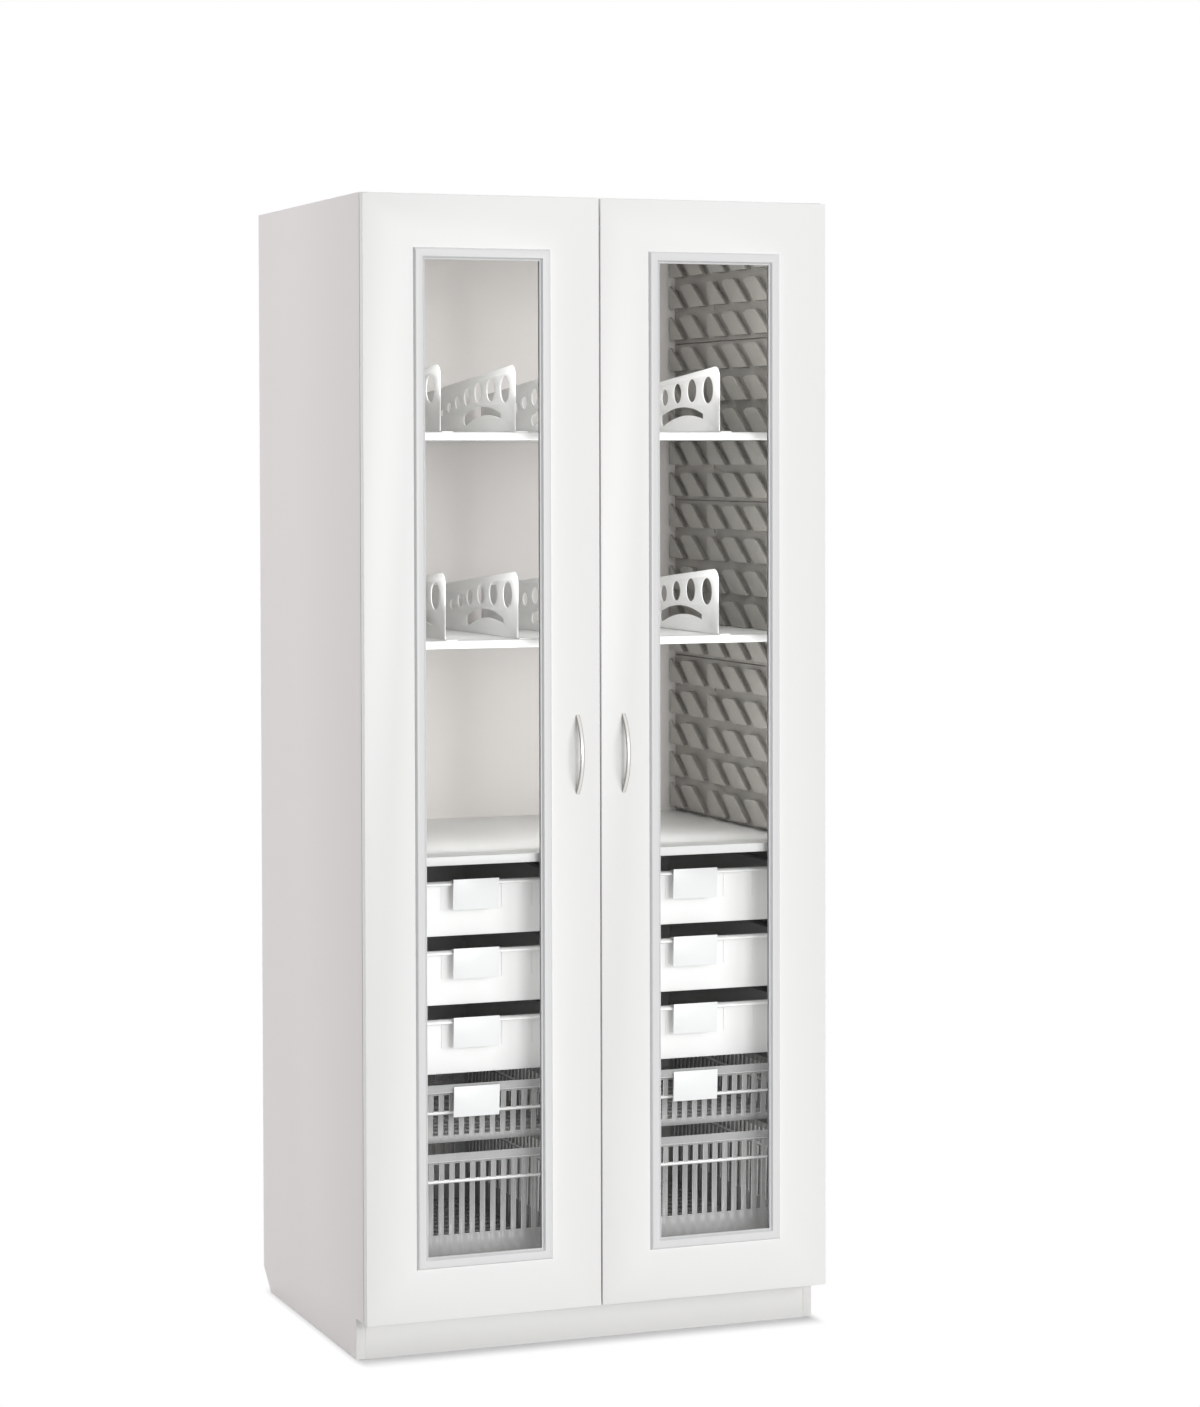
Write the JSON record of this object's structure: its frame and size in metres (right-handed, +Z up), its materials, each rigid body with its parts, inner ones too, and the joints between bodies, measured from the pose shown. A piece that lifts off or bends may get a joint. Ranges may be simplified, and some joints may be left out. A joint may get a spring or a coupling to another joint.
{
  "type": "modular storage cabinet",
  "caption": "Tall white modular storage cabinet with two framed glass doors, divided shelves above a worktop, and trays and slotted baskets on slanted guide panels below.",
  "frame": {"origin": "on the floor, at the middle of the width and of the depth from the handles to the back", "axes": "+Z up, the doors face -Y, +X to the right seen from the front"},
  "size_m": [0.9, 0.708, 2.1],
  "materials": {
    "white_board": "white melamine-faced board",
    "shelf_metal": "white powder coat",
    "divider_metal": "light grey powder coat",
    "guide_plastic": "moulded grey ABS",
    "tray_plastic": "moulded light grey ABS",
    "basket_plastic": "moulded translucent grey plastic",
    "label_plastic": "white card in a clear holder",
    "moulding_plastic": "white foil-wrapped moulding",
    "pane_glass": "clear float glass",
    "handle_nickel": "satin nickel",
    "hinge_steel": "nickel-plated steel"
  },
  "bodies": {
    "cabinet": {"side_panel_left": "white_board", "side_panel_right": "white_board", "top_panel": "white_board", "bottom_panel": "white_board", "back_panel": "white_board", "plinth_board": "white_board", "rear_rail": "white_board", "worktop_shelf": "white_board", "centre_partition": "white_board", "shelf_upper": "shelf_metal", "shelf_lower": "shelf_metal", "hinge_arms_left": "hinge_steel", "hinge_arms_right": "hinge_steel", "guide_panel_upper_left": "guide_plastic", "guide_panel_lower_left_outer": "guide_plastic", "guide_panel_lower_left_inner": "guide_plastic", "guide_panel_upper_right": "guide_plastic", "guide_panel_lower_right_outer": "guide_plastic", "guide_panel_lower_right_inner": "guide_plastic", "divider_upper_1": "divider_metal", "divider_upper_2": "divider_metal", "divider_upper_3": "divider_metal", "divider_upper_4": "divider_metal", "divider_lower_1": "divider_metal", "divider_lower_2": "divider_metal", "divider_lower_3": "divider_metal", "divider_lower_4": "divider_metal"},
    "left_door": {"door_left_leaf": "white_board", "door_left_moulding": "moulding_plastic", "door_left_glass": "pane_glass", "door_left_glass_bead": "moulding_plastic", "door_left_handle": "handle_nickel", "door_left_hinge_flanges": "hinge_steel"},
    "drawer_tray_top_left": {"tray_top_left": "tray_plastic", "label_tray_top_left": "label_plastic"},
    "drawer_tray_middle_left": {"tray_middle_left": "tray_plastic", "label_tray_middle_left": "label_plastic"},
    "drawer_tray_low_left": {"tray_low_left": "tray_plastic", "label_tray_low_left": "label_plastic"},
    "drawer_basket_left": {"basket_left": "basket_plastic", "label_basket_left": "label_plastic"},
    "drawer_deep_basket_left": {"deep_basket_left": "basket_plastic"},
    "right_door": {"door_right_leaf": "white_board", "door_right_moulding": "moulding_plastic", "door_right_glass": "pane_glass", "door_right_glass_bead": "moulding_plastic", "door_right_handle": "handle_nickel", "door_right_hinge_flanges": "hinge_steel"},
    "drawer_tray_top_right": {"tray_top_right": "tray_plastic", "label_tray_top_right": "label_plastic"},
    "drawer_tray_middle_right": {"tray_middle_right": "tray_plastic", "label_tray_middle_right": "label_plastic"},
    "drawer_tray_low_right": {"tray_low_right": "tray_plastic", "label_tray_low_right": "label_plastic"},
    "drawer_basket_right": {"basket_right": "basket_plastic", "label_basket_right": "label_plastic"},
    "drawer_deep_basket_right": {"deep_basket_right": "basket_plastic"}
  },
  "joints": [
    {"name": "left_door_hinge", "type": "hinge", "parent": "cabinet", "child": "left_door", "pos_m": [-0.45, -0.308, 1.086], "axis": [0, 0, -1], "range_deg": [0, 170]},
    {"name": "tray_top_left_slide", "type": "slide", "parent": "cabinet", "child": "drawer_tray_top_left", "axis": [0, -1, 0], "range_m": [0, 0.42]},
    {"name": "tray_middle_left_slide", "type": "slide", "parent": "cabinet", "child": "drawer_tray_middle_left", "axis": [0, -1, 0], "range_m": [0, 0.42]},
    {"name": "tray_low_left_slide", "type": "slide", "parent": "cabinet", "child": "drawer_tray_low_left", "axis": [0, -1, 0], "range_m": [0, 0.42]},
    {"name": "basket_left_slide", "type": "slide", "parent": "cabinet", "child": "drawer_basket_left", "axis": [0, -1, 0], "range_m": [0, 0.42]},
    {"name": "deep_basket_left_slide", "type": "slide", "parent": "cabinet", "child": "drawer_deep_basket_left", "axis": [0, -1, 0], "range_m": [0, 0.42]},
    {"name": "right_door_hinge", "type": "hinge", "parent": "cabinet", "child": "right_door", "pos_m": [0.45, -0.308, 1.086], "axis": [0, 0, 1], "range_deg": [0, 170]},
    {"name": "tray_top_right_slide", "type": "slide", "parent": "cabinet", "child": "drawer_tray_top_right", "axis": [0, -1, 0], "range_m": [0, 0.42]},
    {"name": "tray_middle_right_slide", "type": "slide", "parent": "cabinet", "child": "drawer_tray_middle_right", "axis": [0, -1, 0], "range_m": [0, 0.42]},
    {"name": "tray_low_right_slide", "type": "slide", "parent": "cabinet", "child": "drawer_tray_low_right", "axis": [0, -1, 0], "range_m": [0, 0.42]},
    {"name": "basket_right_slide", "type": "slide", "parent": "cabinet", "child": "drawer_basket_right", "axis": [0, -1, 0], "range_m": [0, 0.42]},
    {"name": "deep_basket_right_slide", "type": "slide", "parent": "cabinet", "child": "drawer_deep_basket_right", "axis": [0, -1, 0], "range_m": [0, 0.42]}
  ],
  "couplings": [
    {"joint": "tray_top_left_slide", "follows": "left_door_hinge", "m_per_rad": 0.09},
    {"joint": "tray_middle_left_slide", "follows": "left_door_hinge", "m_per_rad": 0.09},
    {"joint": "tray_low_left_slide", "follows": "left_door_hinge", "m_per_rad": 0.09},
    {"joint": "basket_left_slide", "follows": "left_door_hinge", "m_per_rad": 0.09},
    {"joint": "deep_basket_left_slide", "follows": "left_door_hinge", "m_per_rad": 0.09},
    {"joint": "tray_top_right_slide", "follows": "right_door_hinge", "m_per_rad": 0.09},
    {"joint": "tray_middle_right_slide", "follows": "right_door_hinge", "m_per_rad": 0.09},
    {"joint": "tray_low_right_slide", "follows": "right_door_hinge", "m_per_rad": 0.09},
    {"joint": "basket_right_slide", "follows": "right_door_hinge", "m_per_rad": 0.09},
    {"joint": "deep_basket_right_slide", "follows": "right_door_hinge", "m_per_rad": 0.09}
  ]
}
